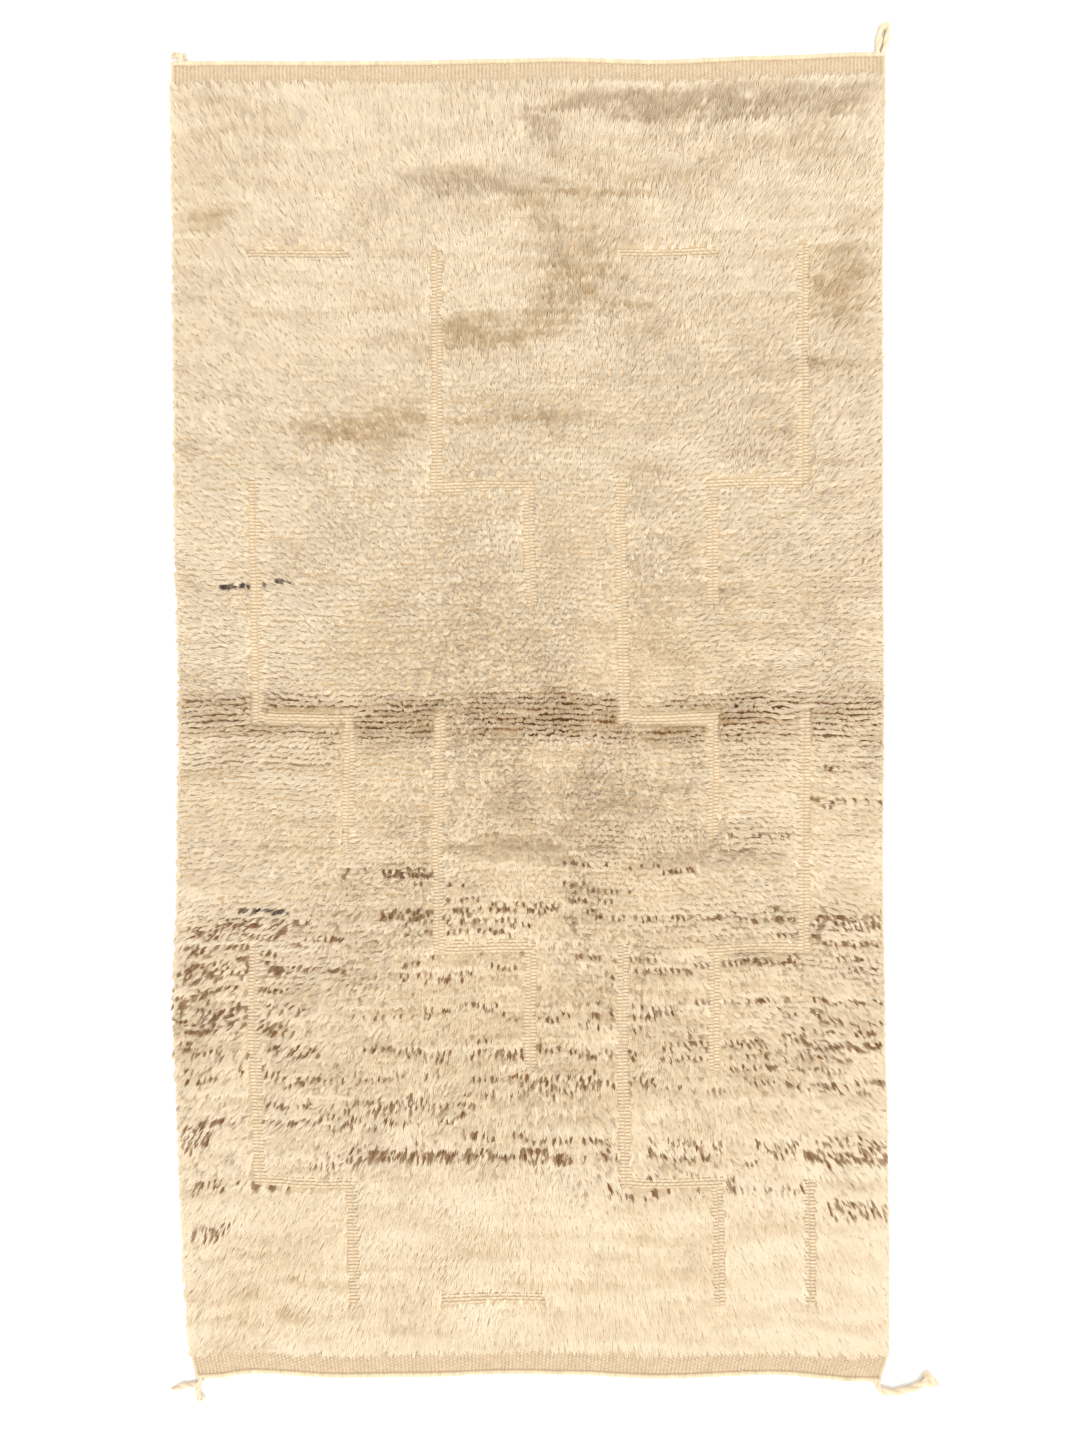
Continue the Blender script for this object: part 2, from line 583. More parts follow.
def yarn_tube(path, radius, sides, strands=0, twist=0.0):
    """A closed tube along a path. Its strands show as ridges that turn with the twist, in radians
    to the metre, and the grooves between them count as roots."""
    heading, aside, upward = bearings(path)
    travel = np.concatenate([[0], np.cumsum(np.linalg.norm(np.diff(path, axis=0), axis=1))])
    angle = np.arange(sides)[None] * math.tau / sides
    ridge = np.cos(strands * (angle - twist * travel[:, None])) if strands else 0 * angle
    reach = radius[:, None] * (1 + STRAND_RIDGE * ridge)
    rings = path[:, None] + reach[:, :, None] * (
        np.cos(angle)[:, :, None] * aside[:, None] + np.sin(angle)[:, :, None] * upward[:, None]
    )
    count = len(path)
    ends = np.stack([
        path[0] - 0.5 * radius[0] * heading[0], path[-1] + 0.5 * radius[-1] * heading[-1]
    ])
    points = np.concatenate([rings.reshape(-1, 3), ends])
    faces = []
    for ring in range(count - 1):
        for side in range(sides):
            after = (side + 1) % sides
            low, high = ring * sides, (ring + 1) * sides
            faces.append([low + side, low + after, high + after, high + side])
    for side in range(sides):
        after = (side + 1) % sides
        last = (count - 1) * sides
        faces.append([count * sides, after, side])
        faces.append([count * sides + 1, last + side, last + after])
    share = np.broadcast_to(1 - GROOVE_SHADE + GROOVE_SHADE * ridge, (count, sides)).ravel()
    return points, faces, np.concatenate([share, [0.5, 0.5]])


def make_selvedge(name, side, seed):
    """The bound cord along one side, with a ridge at each turn of the binding."""
    rng = np.random.default_rng(seed)
    y = np.arange(SIDE_MARGIN - HALF_LENGTH, HALF_LENGTH - 0.003, SELVEDGE_STEP)
    x = side * (HALF_WIDTH - SELVEDGE_IN * SELVEDGE_THICK) + 0 * y
    path = xyz(*as_woven(x, y), GROUND_LIFT + 0.5 * SELVEDGE_THICK)
    turns = 1 + SELVEDGE_RIDGE * np.cos(math.tau * y / SELVEDGE_TURN)
    radius = 0.5 * SELVEDGE_THICK * turns * rng.uniform(0.95, 1.05, len(y))
    points, faces, along = yarn_tube(path, radius, 8)
    points[:, 2] = np.maximum(points[:, 2], LOWEST)
    selvedge = piece_of(name, points, faces, linear(246, 227, 194), along, band_yarn)
    return selvedge


left_selvedge = make_selvedge("selvedge_left", -1, 61)
right_selvedge = make_selvedge("selvedge_right", 1, 62)

# Corner tails ---------------------------------------------
# The selvedge yarns run on past each corner: a frayed stub, a folded loop, two loose plied ends,
# and a two-ply cord with an overhand knot in it. They lie on the floor beside the rug.
TAIL_STEP, TAIL_GAP = 0.001, 0.0006
PLY_SIDES, PLY_STRANDS, PLY_TWIST = 18, 4, 260.0
PLY_SHARE, PLY_OUT = 0.29, 0.22
# Each yarn's way, in millimetres: right of its root, out from the rug's end, up, and thickness.
CORD_ROUTE = (
    (0, -6, 0, 12), (0, 6, 0, 14.5), (6, 16, 0, 15), (20, 20.5, 0, 15), (38, 21, 0, 14.5),
    (62, 16, 0, 14.5), (82, 9, 1, 14),
)
KNOT_MIDDLE, KNOT_SIZE, KNOT_RISE, KNOT_YARN = (106, -6), 10.5, 4.8, 10.8
KNOT_START, KNOT_TURNS, KNOT_ROWS = 0.9, 0.86, 13
KNOT_EXIT = ((121.5, 0, 2, 10), (123.5, 3, 0, 8))
LOWER_ROUTE = ((1, -6, 0, 12), (0, 9, 0, 12.5), (-4, 22, 0, 12.5), (-3, 34, 0, 12), (-1, 42, 0, 10))
LEFT_ROUTE = (
    (6, 0, 1, 11), (-2, 11, 1, 12), (-14, 14, 0, 12), (-30, 15, 0, 12), (-44, 19, 0, 11.5),
    (-51, 24, 0, 9),
)
LOOP_ROUTE = (
    (-4, -8, 0, 11), (-5.5, 4, 0, 13), (-3, 22, 0, 14), (0, 40, 0, 14), (4, 51, 1, 14),
    (10.5, 54.5, 2, 14), (15.5, 47, 1, 14), (15, 32, 0, 14), (10.5, 14, 0, 14), (7.5, 2, 0, 13),
    (6, -8, 0, 10),
)
STUB_ROUTE = ((1, -8, 0, 12), (0, 4, 0, 14), (-4, 10, 0, 13), (-10, 13.5, 0, 9))
# Bunches of loose fibre: right and out in millimetres, heading and spread in degrees, length in
# millimetres, and number of strands.
CORD_FRAY = ((121, 0, 65, 38, 15, 26),)
LOWER_FRAY = ((-2, 40, 88, 30, 14, 24), (2, 38, 52, 16, 13, 8))
LEFT_FRAY = ((-49, 22, 148, 32, 14, 24),)
LOOP_FRAY = ((4, 50, 80, 50, 10, 8), (-6, 22, 120, 30, 8, 5))
STUB_FRAY = (
    (-8, 10, 158, 16, 24, 26), (-6, 10, 112, 26, 16, 14), (1, 6, 70, 30, 16, 18),
    (3, 3, 38, 20, 12, 8),
)
FIBRE_RADIUS, FIBRE_SCATTER, FIBRE_BEND, FIBRE_CURL = (0.0006, 0.0012), 0.0018, 0.35, 0.15
FIBRE_TIP_HEIGHT, FIBRE_ROOT_HEIGHT = (0.0012, 0.003), (0.003, 0.009)
tail_wool = wool_material("tail_wool", linear(216, 190, 152), 1400, 90, 0.1, sheen=0.2)


def smooth_route(rows):
    """Rows close together, in metres, on a smooth curve through the given ones."""
    rows = np.array(rows) / 1000
    rows = np.vstack([2 * rows[0] - rows[1], rows, 2 * rows[-1] - rows[-2]])
    route = []
    for a, b, c, d in zip(rows, rows[1:], rows[2:], rows[3:]):
        steps = max(1, round(np.linalg.norm((c - b)[:3]) / TAIL_STEP))
        for t in np.arange(steps) / steps:
            route.append(0.5 * (
                2 * b + (c - a) * t
                + (2 * a - 5 * b + 4 * c - d) * t ** 2
                + (3 * b - a - 3 * c + d) * t ** 3
            ))
    return np.array([*route, rows[-2]])


def overhand():
    """The way of a cord through an overhand knot."""
    rows = []
    for turn in np.linspace(KNOT_START, KNOT_START + KNOT_TURNS * math.tau, KNOT_ROWS):
        rows.append((
            KNOT_MIDDLE[0] + KNOT_SIZE * (math.sin(turn) + 2 * math.sin(2 * turn)) / 3,
            KNOT_MIDDLE[1] + KNOT_SIZE * (math.cos(turn) - 2 * math.cos(2 * turn)) / 3,
            KNOT_RISE * (1 - math.sin(3 * turn)),
            KNOT_YARN,
        ))
    return rows


def plied_yarn(rows, turns, root, out):
    """Two plies laid round each other along a route on the floor."""
    route = smooth_route(rows)
    thick = route[:, 3]
    middle = xyz(
        root[0] + route[:, 0], root[1] + out * route[:, 1],
        TAIL_GAP + 0.52 * thick + route[:, 2],
    )
    aside, upward = bearings(middle)[1:]
    parts = []
    for ply in range(2):
        angle = math.pi * ply + math.tau * turns * np.linspace(0, 1, len(route))
        path = middle + (PLY_OUT * thick)[:, None] * (
            np.cos(angle)[:, None] * aside + np.sin(angle)[:, None] * upward
        )
        parts.append(yarn_tube(path, PLY_SHARE * thick, PLY_SIDES, PLY_STRANDS, PLY_TWIST))
    return parts


def loose_fibres(bunches, root, out, rng):
    """Thin tapering strands that fan out from a yarn's end, down to the floor."""
    parts = []
    share = np.linspace(0, 1, 7)
    for right, away, turn, spread, long, count in bunches:
        right, away, long = right / 1000, away / 1000, long / 1000
        for _ in range(count):
            heading = math.radians(turn + rng.normal(0, 0.5 * spread)) * out
            bend = rng.normal(0, FIBRE_BEND)
            reach = long * rng.uniform(0.45, 1.1) * share
            curl = FIBRE_CURL * np.sin(6 * share + rng.uniform(0, 6))
            turned = heading + bend * share + curl
            low, high = rng.uniform(*FIBRE_TIP_HEIGHT), rng.uniform(*FIBRE_ROOT_HEIGHT)
            path = xyz(
                root[0] + right + rng.normal(0, FIBRE_SCATTER) + reach * np.cos(turned),
                root[1] + out * (away + rng.normal(0, FIBRE_SCATTER)) + reach * np.sin(turned),
                high + (low - high) * share ** 0.7,
            )
            radius = rng.uniform(*FIBRE_RADIUS) * (1 - 0.75 * share)
            parts.append(yarn_tube(path, radius, 5))
    return parts


def make_tail(name, node, x, out, yarns, fray, seed):
    """All plies and loose fibres that leave one corner, in one piece."""
    rng = np.random.default_rng(seed)
    root = (x, as_woven(np.array([x]), np.array([out * HALF_LENGTH]))[1][0])
    parts = []
    for rows, turns in yarns:
        parts += plied_yarn(rows, turns, root, out)
    parts += loose_fibres(fray, root, out, rng)
    points, faces, along, tint, start = [], [], [], [], 0
    for some, corners, share in parts:
        points.append(some)
        faces += [[start + corner for corner in face] for face in corners]
        along.append(share)
        tint.append(np.broadcast_to(linear(246, 229, 200) * rng.normal(1, 0.03), some.shape))
        start += len(some)
    points = np.concatenate(points)
    points[:, 2] = np.maximum(points[:, 2], LOWEST)
    tail = piece_of(name, points, faces, np.concatenate(tint), np.concatenate(along), tail_wool)
    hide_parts(node)
    return tail


KNOTTED = (*CORD_ROUTE, *overhand(), *KNOT_EXIT)
tails = [
    make_tail(*corner) for corner in (
        ("stub_top_left", "tail_top_left", -0.737, 1, ((STUB_ROUTE, 0.6),), STUB_FRAY, 91),
        ("loop_top_right", "tail_top_right", 0.733, 1, ((LOOP_ROUTE, 2.0),), LOOP_FRAY, 92),
        ("ends_bottom_left", "tail_bottom_left", -0.699, -1,
         ((LOWER_ROUTE, 1.2), (LEFT_ROUTE, 1.4)), LOWER_FRAY + LEFT_FRAY, 93),
        ("cord_bottom_right", "tail_bottom_right", 0.727, -1, ((KNOTTED, 3.4),), CORD_FRAY, 94),
    )
]

# Pile -----------------------------------------------------
# About 27,000 knots of soft hand-spun cream wool, each leaving two locks that stand about 2 cm
# high, in rows across the rug. Batches of wool differ: tan, grey-beige, a little brown and, in two
# short rows, nearly black. The rows stand apart where the rug was folded across its middle.
LOCK_STEP, LOCK_ROW, FIRST_LOCK, FIRST_ROW = 0.00625, 0.011, 0.002, 0.003
WISPS, WISP_RADIUS, STOUT_OPEN, STOUT_MIDDLE, STOUT_REACH = 4, 0.0028, 0.6, 0.3, 0.5
FOOT_SPREAD, TIP_SPREAD, TIP_JITTER, TIP_SHADE = 0.0028, 0.0024, 0.001, 0.05
UPWARD, FAN_OUT, PILE_PIECES = 0.90, 0.0085, 5
# How far the locks stray: along and off their row, in height and in lean.
KNOT_JITTER, ROW_WAVE, ROW_JITTER, SIDE_JITTER, OPEN_WAVE = 0.0013, 0.004, 0.0022, 0.002, 0.003
HEIGHT_JITTER, HEIGHT_WAVE, LEAN_JITTER, TOUSLE, OPEN_LEAN = 0.0011, 0.0014, 0.0014, 0.0016, 0.012
# Leans that neighbours share: amount, pitch, noise layer for x, which is 6 below that for y.
SWAY = ((0.005, 0.1, 11.0), (0.003, 0.32, 12.0))
# At the channels, sides and end bands, the locks are shorter, stand up more or hang over.
EDGE_GAP, EDGE_RAGGED, EDGE_REACH, EDGE_DROP = 0.0005, 0.004, 0.006, 0.12
RIM_REACH, SIDE_DROP, SIDE_HANG, SIDE_UPRIGHT, BAND_UPRIGHT = 0.014, 0.38, 0.004, 0.75, 0.65
OVERHANG, OVERHANG_WAVE, OVERHANG_REACH = 0.004, 0.006, 0.01
CREAM = linear(252, 233, 202)
TAN = linear(218, 190, 150)
GREY = linear(212, 190, 158)
BROWN = linear(132, 92, 54)
DARK = linear(50, 44, 48)
BRIGHTEST = 0.98
# Patches of another batch: middle x and y, half width, half height, slope, amount.
TAN_PATCHES = (
    (-0.67, 1.27, 0.08, 0.06, 0, 0.35), (-0.687, 1.04, 0.07, 0.055, 0, 0.6),
    (0.02, 1.09, 0.18, 0.03, 0, 0.5), (-0.08, 0.81, 0.17, 0.05, 0.1, 0.9),
    (0.09, 0.907, 0.06, 0.06, 0, 0.4), (-0.34, 0.61, 0.16, 0.05, 0.12, 0.9),
    (-0.03, 0.63, 0.18, 0.02, 0, 0.4), (0.26, 0.525, 0.07, 0.02, 0, 0.5),
    (0.65, 0.85, 0.09, 0.06, -0.3, 0.55), (0.56, 0.73, 0.17, 0.02, 0, 0.5),
    (0.69, 1.03, 0.05, 0.03, 0, 0.4), (0.063, 0.36, 0.06, 0.022, 0, 0.4),
    (0, 0, 0.9, 0.055, 0, 0.5), (-0.69, -0.615, 0.06, 0.14, 0, 0.2),
    (0, -0.69, 0.8, 0.26, 0, 0.25), (-0.68, 0.5, 0.08, 0.3, 0, -0.3),
    (-0.55, 0.17, 0.2, 0.09, 0, -0.6), (0.3, 0.42, 0.4, 0.16, 0, -0.15),
    (0.12, 0.98, 0.16, 0.15, 0, 0.4), (0.3, 1.15, 0.25, 0.07, 0, 0.3),
    (0.62, 1.2, 0.1, 0.06, 0, 0.4), (0.66, 0.93, 0.08, 0.09, 0, 0.55),
    (0, -1.2, 0.9, 0.18, 0, 0.16), (-0.6, -1.2, 0.16, 0.16, 0, 0.25),
    (-0.6, 1.2, 0.18, 0.14, 0, 0.15), (-0.45, 0.4, 0.24, 0.22, 0, -0.25),
    (-0.05, 0.42, 0.3, 0.18, 0, -0.25),
)
GREY_PATCHES = (
    (0.03, 1.23, 0.05, 0.06, -0.5, 0.6), (-0.12, 1.12, 0.18, 0.034, 0, 0.9),
    (0.41, 1.285, 0.34, 0.04, 0, 1), (0.2, 1.28, 0.12, 0.035, 0, 0.6),
    (0.4, 0.26, 0.1, 0.02, 0, 0.4), (0.006, -0.275, 0.2, 0.035, 0, 0.75),
    (0.37, -0.296, 0.16, 0.03, 0, 0.6), (0.1, -0.175, 0.22, 0.07, 0, 0.4),
)
# Single brown locks are strewn between the brown rows: middle y and half height.
STRAY_BROWN = (-0.70, 0.30)
# Rows with brown wool: x at both ends and y at both ends, in steps of 5 mm, how many rows of
# knots, and the amount of brown, up to 100.
STEPS_IN_A_METRE = 200
BROWN_ROWS = (
    (-80, -62, -65, -64, 1, 50), (-62, -41, -64, -65, 2, 95), (-49, -28, -71, -70, 1, 60),
    (-40, -18, -76, -76, 1, 70), (-128, -91, -86, -85, 1, 80), (-144, -118, -90, -89, 2, 80),
    (-118, -101, -89, -89, 1, 50), (-144, -101, -94, -91, 1, 85), (-101, -78, -94, -92, 1, 70),
    (-144, -109, -96, -96, 1, 45), (-143, -124, -99, -100, 1, 50), (-122, -104, -101, -99, 1, 80),
    (-147, -101, -104, -106, 2, 40), (-147, -78, -108, -105, 1, 65),
    (-146, -114, -111, -109, 1, 60), (-150, -100, -116, -114, 1, 95),
    (-150, -132, -119, -119, 1, 50), (-149, -93, -123, -122, 2, 50),
    (-149, -122, -127, -126, 1, 50), (-144, -128, -133, -132, 1, 95),
    (-137, -97, -128, -131, 3, 35), (-63, -41, -83, -83, 2, 100), (-41, -9, -82, -81, 2, 60),
    (-53, -5, -86, -86, 1, 60), (-9, 7, -81, -80, 2, 40), (2, 13, -80, -80, 2, 90),
    (-53, -8, -90, -89, 1, 75), (-18, 1, -89, -89, 1, 50), (-15, -8, -94, -93, 1, 50),
    (-53, -38, -103, -102, 1, 50), (-57, -24, -109, -107, 1, 70), (-55, -26, -110, -109, 1, 50),
    (-20, -4, -106, -105, 1, 80), (12, 45, -71, -73, 1, 60), (14, 35, -76, -78, 1, 40),
    (21, 31, -82, -83, 1, 95), (31, 52, -83, -84, 1, 60), (18, 52, -102, -101, 1, 65),
    (32, 52, -107, -106, 1, 80), (-74, -33, -126, -124, 1, 75), (-28, -13, -122, -121, 1, 60),
    (-21, -5, -123, -126, 2, 40), (-5, 18, -128, -126, 1, 80), (19, 37, -126, -125, 2, 60),
    (22, 50, -121, -121, 1, 60), (19, 49, -131, -130, 1, 60), (37, 50, -124, -125, 1, 70),
    (47, 88, -83, -83, 1, 65), (88, 113, -86, -85, 1, 60), (98, 104, -82, -82, 1, 70),
    (113, 147, -83, -83, 1, 80), (115, 147, -86, -86, 1, 80), (114, 147, -88, -89, 1, 70),
    (104, 114, -92, -92, 1, 90), (114, 147, -93, -95, 1, 90), (47, 71, -107, -104, 1, 90),
    (71, 112, -104, -103, 1, 85), (88, 112, -100, -100, 1, 60), (128, 148, -101, -101, 1, 85),
    (132, 145, -106, -106, 1, 60), (48, 66, -123, -120, 2, 70), (68, 79, -119, -120, 1, 80),
    (81, 110, -119, -118, 1, 75), (119, 148, -119, -120, 1, 70), (103, 112, -124, -125, 1, 85),
    (114, 131, -121, -126, 1, 70), (120, 148, -126, -130, 2, 50), (112, 133, -132, -133, 1, 90),
    (132, 149, -133, -132, 1, 70), (-149, -128, -137, -141, 2, 50), (-146, -129, -147, -147, 1, 80),
    (-146, -132, -151, -152, 1, 70), (-120, -88, -141, -140, 2, 50), (-88, -47, -140, -139, 1, 50),
    (-124, -103, -148, -150, 2, 75), (-106, -73, -154, -151, 1, 85), (-73, -59, -152, -153, 1, 60),
    (-57, -34, -149, -150, 1, 50), (-118, -84, -164, -162, 1, 70), (-84, -46, -162, -159, 1, 80),
    (-119, -89, -170, -169, 1, 80), (-89, -65, -168, -166, 2, 60), (-68, -46, -165, -162, 2, 80),
    (-87, -46, -172, -169, 1, 65), (-147, -129, -171, -170, 1, 95), (-147, -133, -174, -174, 2, 70),
    (-148, -135, -179, -177, 2, 70), (-90, -78, -183, -181, 1, 40), (-78, -46, -181, -179, 1, 55),
    (-94, -76, -187, -185, 1, 70), (-76, -46, -185, -183, 2, 95), (-144, -124, -197, -197, 1, 50),
    (-120, -103, -196, -196, 2, 50), (-145, -128, -214, -214, 2, 60),
    (-145, -132, -218, -218, 1, 60), (-53, -33, -140, -142, 2, 70), (-28, -14, -137, -136, 1, 80),
    (-25, 0, -142, -141, 2, 65), (0, 46, -140, -142, 2, 50), (-28, -11, -151, -152, 1, 70),
    (-13, 28, -152, -152, 2, 50), (-8, 29, -158, -155, 2, 80), (24, 52, -154, -152, 2, 45),
    (-53, -42, -160, -160, 1, 60), (-53, -23, -164, -162, 1, 90), (-28, 0, -159, -157, 1, 85),
    (-41, -28, -169, -168, 1, 85), (-33, 39, -177, -178, 1, 65), (-53, 16, -184, -185, 2, 100),
    (16, 39, -184, -185, 2, 55), (31, 70, -196, -197, 2, 40), (31, 53, -200, -200, 1, 40),
    (55, 78, -138, -137, 2, 80), (76, 102, -137, -139, 2, 70), (55, 71, -143, -144, 1, 70),
    (78, 99, -142, -143, 1, 50), (106, 149, -136, -138, 2, 90), (104, 134, -142, -144, 1, 70),
    (80, 133, -147, -147, 1, 85), (89, 133, -153, -156, 2, 70), (133, 148, -153, -152, 1, 70),
    (112, 142, -157, -156, 1, 60), (47, 67, -154, -155, 1, 50), (68, 86, -157, -157, 1, 75),
    (47, 79, -177, -179, 2, 35), (47, 79, -182, -184, 2, 35), (85, 96, -186, -186, 1, 60),
    (92, 149, -179, -177, 2, 55), (97, 149, -183, -182, 2, 50), (112, 149, -186, -185, 1, 95),
    (47, 86, -194, -195, 3, 60), (47, 86, -199, -199, 1, 55), (86, 115, -198, -197, 1, 70),
    (122, 149, -204, -201, 1, 80), (124, 149, -207, -204, 2, 75), (127, 148, -209, -207, 1, 80),
    (106, 141, -23, -23, 1, 35), (114, 148, -36, -36, 1, 70), (70, 112, -50, -51, 1, 20),
    (12, 70, -62, -63, 1, 25),
)
# Short rows of nearly black wool, in the same way.
DARK_ROWS = ((-131, -100, 54, 57, 1, 100), (-122, -101, -82, -82, 1, 100))
# At least this share of a row's knots is coloured. Few knots have both locks coloured, but more
# than half do where the row is nearly full.
LEAST_COLOURED, BOTH_LOCKS, BOTH_IN_FULL_ROW, FULL_ROW = 0.35, 0.15, 0.60, 0.90


def share_of(patches, x, row_y):
    """How much of another batch of wool is spun in at each place, in streaks by the row: up to 1,
    or down to -1 where the wool is paler than the cream."""
    total = np.zeros(len(x))
    ragged = 0.55 * drift(x, row_y, (0.14, 0.014), 33.0)
    ragged += 0.35 * drift(x, row_y, (0.05, 0.02), 34.0)
    streaks = np.clip(0.90 + 1.1 * drift(x, row_y, (0.07, 0.009), 36.0), 0, 1.3)
    for middle_x, middle_y, half_x, half_y, slope, amount in patches:
        off_x = (x - middle_x) / half_x
        off_y = (row_y - middle_y - slope * (x - middle_x)) / half_y
        total += amount * np.clip(1.3 * (1.15 - np.hypot(off_x, off_y) + ragged), 0, 1)
    return np.clip(total * streaks, -1, 1)


def in_rows(table, x, row_y, one_of, other, wave):
    """How a table of rows colours each lock's knot: 1 both locks, 0.5 one of them, 0 neither."""
    found = np.zeros(len(x))
    for *places, rows, percent in table:
        first, last, start, end = (place / STEPS_IN_A_METRE for place in places)
        amount = percent / 100
        share = (x - first) / (last - first)
        line = start + np.clip(share, 0, 1) * (end - start) + 0.003 * wave
        near = np.abs(row_y - line) < 0.5 * LOCK_ROW * rows
        inside = (share > 0) & (share < 1) & near
        knot = one_of < LEAST_COLOURED + (1 - LEAST_COLOURED) * amount
        both = other < (BOTH_IN_FULL_ROW if amount > FULL_ROW else BOTH_LOCKS)
        found = np.maximum(found, np.where(inside & knot, np.where(both, 1.0, 0.5), 0))
    return found


def pile_locks():
    """Each lock's place on the even layout, its height, lean and tint, how far its row stands
    open, how shaded its root is, and how slim it is along its row."""
    rng = np.random.default_rng(20)
    columns = np.arange(FIRST_LOCK - HALF_WIDTH, HALF_WIDTH - 0.001, LOCK_STEP)
    limit = HALF_LENGTH - END_BAND
    rows = np.arange(FIRST_ROW - limit, limit - 0.001, LOCK_ROW)
    x, row_y = (grid.ravel() for grid in np.meshgrid(columns, rows))
    column, row = (grid.ravel() for grid in np.meshgrid(range(len(columns)), range(len(rows))))
    one_of = rng.uniform(0, 1, (len(rows), len(columns) // 2 + 1))[row, column // 2]
    other = rng.uniform(0, 1, (len(rows), len(columns) // 2 + 1))[row, column // 2]
    patchy = np.clip(0.90 + 0.9 * drift(x, row_y, (0.080, 0.011), 47.0), 0, 1)
    opened = open_share(x, row_y) * patchy
    loose = 1 - 0.6 * opened
    beside = np.exp((np.abs(x) - HALF_WIDTH) / 0.010)
    x = x + (row % 2 - 0.5) * 0.5 * LOCK_STEP + rng.normal(0, KNOT_JITTER, len(x))
    wave = drift(x, row_y, (0.05, 0.03), 41.0)
    stray = (ROW_JITTER * loose + SIDE_JITTER * beside) * rng.normal(0, 1, len(x))
    y = row_y + ROW_WAVE * wave + stray
    y = y + OPEN_WAVE * opened * drift(x, row_y, (0.016, 0.009), 42.0)
    x = np.clip(x, EDGE_GAP - HALF_WIDTH, HALF_WIDTH - EDGE_GAP)
    room, way_x, way_y = pile_room(x, y)
    kept = room > EDGE_GAP + EDGE_RAGGED * drift(x, y, 0.03, 40.0)
    x, y, row_y, column, one_of, other, opened, wave, room, way_x, way_y = (
        item[kept]
        for item in (x, y, row_y, column, one_of, other, opened, wave, room, way_x, way_y)
    )
    count = len(x)
    edge = np.exp(-np.maximum(room, 0) / EDGE_REACH)
    height = PILE_HEIGHT + PILE_LUMP * drift(x, y, LUMP_PITCH, 0.0)
    height += rng.normal(0, HEIGHT_JITTER, count) + HEIGHT_WAVE * drift(x, y, 0.03, 44.0)
    height *= 1 - EDGE_DROP * edge
    over_side = np.exp((np.abs(x) - HALF_WIDTH) / RIM_REACH)
    height *= 1 - SIDE_DROP * over_side
    lean_x, lean_y = FAN_OUT * x, FAN_OUT * y
    for amount, pitch, layer in SWAY:
        lean_x += amount * drift(x, y, pitch, layer)
        lean_y += amount * drift(x, y, pitch, layer + 6)
    tousled = np.clip(0.55 + 1.3 * drift(x, y, 0.24, 63.0), 0, 1) * smooth_step(-1.12, -0.95, y)
    stray = LEAN_JITTER + TOUSLE * tousled
    lean_x += rng.normal(0, 1, count) * stray
    lean_y += rng.normal(0, 1, count) * stray * (1 - 0.7 * opened)
    lean_y += OPEN_LEAN * opened * drift(x, row_y, (0.090, 0.008), 43.0)
    over = OVERHANG + OVERHANG_WAVE * drift(x, y, 0.08, 19.0)
    over *= np.exp(-np.maximum(room, 0) / OVERHANG_REACH)
    by_band = np.exp((np.abs(y) - HALF_LENGTH + END_BAND) / RIM_REACH)
    lean_x *= 1 - SIDE_UPRIGHT * over_side
    lean_y *= 1 - BAND_UPRIGHT * by_band
    lean_x += way_x * over + np.sign(x) * over_side * rng.uniform(0, SIDE_HANG, count)
    lean_y += way_y * over
    tan, grey = share_of(TAN_PATCHES, x, row_y), share_of(GREY_PATCHES, x, row_y)
    tan = np.clip(tan + 0.03 + 0.42 * drift(x, row_y, (0.20, 0.020), 61.0), -0.15, 1)
    tint = CREAM
    for batch, shade, least, more, low in ((tan, TAN, 0.40, 1.2, -0.2), (grey, GREY, 0.45, 1.1, 0)):
        uneven = least + more * rng.uniform(0, 1, count)[:, None]
        tint = tint + np.clip(batch[:, None] * uneven, low, 1) * (shade - tint)
    lone = (column % 2 == 0).astype(float)
    slim = np.ones(count)
    for table, shade in ((BROWN_ROWS, BROWN), (DARK_ROWS, DARK)):
        found = in_rows(table, x, row_y, one_of, other, wave)
        share = np.where(found > 0.75, 1.0, np.where(found > 0, lone, 0.0))
        slim = np.where(share > 0, 0.45, slim)
        share *= rng.uniform(0.70, 1.0, count)
        tint = tint + share[:, None] * (shade - tint)
    middle_y, half_y = STRAY_BROWN
    within = 1 - smooth_step(0.8, 1.1, np.abs(y - middle_y) / half_y)
    strays = within * np.clip(0.15 + 0.9 * drift(x, row_y, (0.12, 0.012), 62.0), 0, 1)
    found = lone * (rng.uniform(0, 1, count) < strays)
    tint = tint + (found * rng.uniform(0.15, 0.55, count))[:, None] * (BROWN - tint)
    combed = drift(np.arctan2(y, x), np.hypot(x, y), (0.008, 0.060), 46.0)
    uneven = 0.04 * drift(x, y, 0.05, 80.0) + rng.normal(0, 0.010, count)
    uneven += (0.08 + 0.14 * tousled) * combed
    uneven -= (0.03 + 0.12 * tousled) * (rng.uniform(0, 1, count) < 0.10)
    tint = tint * (1 + uneven)[:, None]
    shade = np.clip(0.05 + 0.12 * tousled + 0.20 * tan + 0.25 * grey + 0.58 * opened, 0, 1)
    return x, y, height, lean_x, lean_y, tint, opened, shade, slim


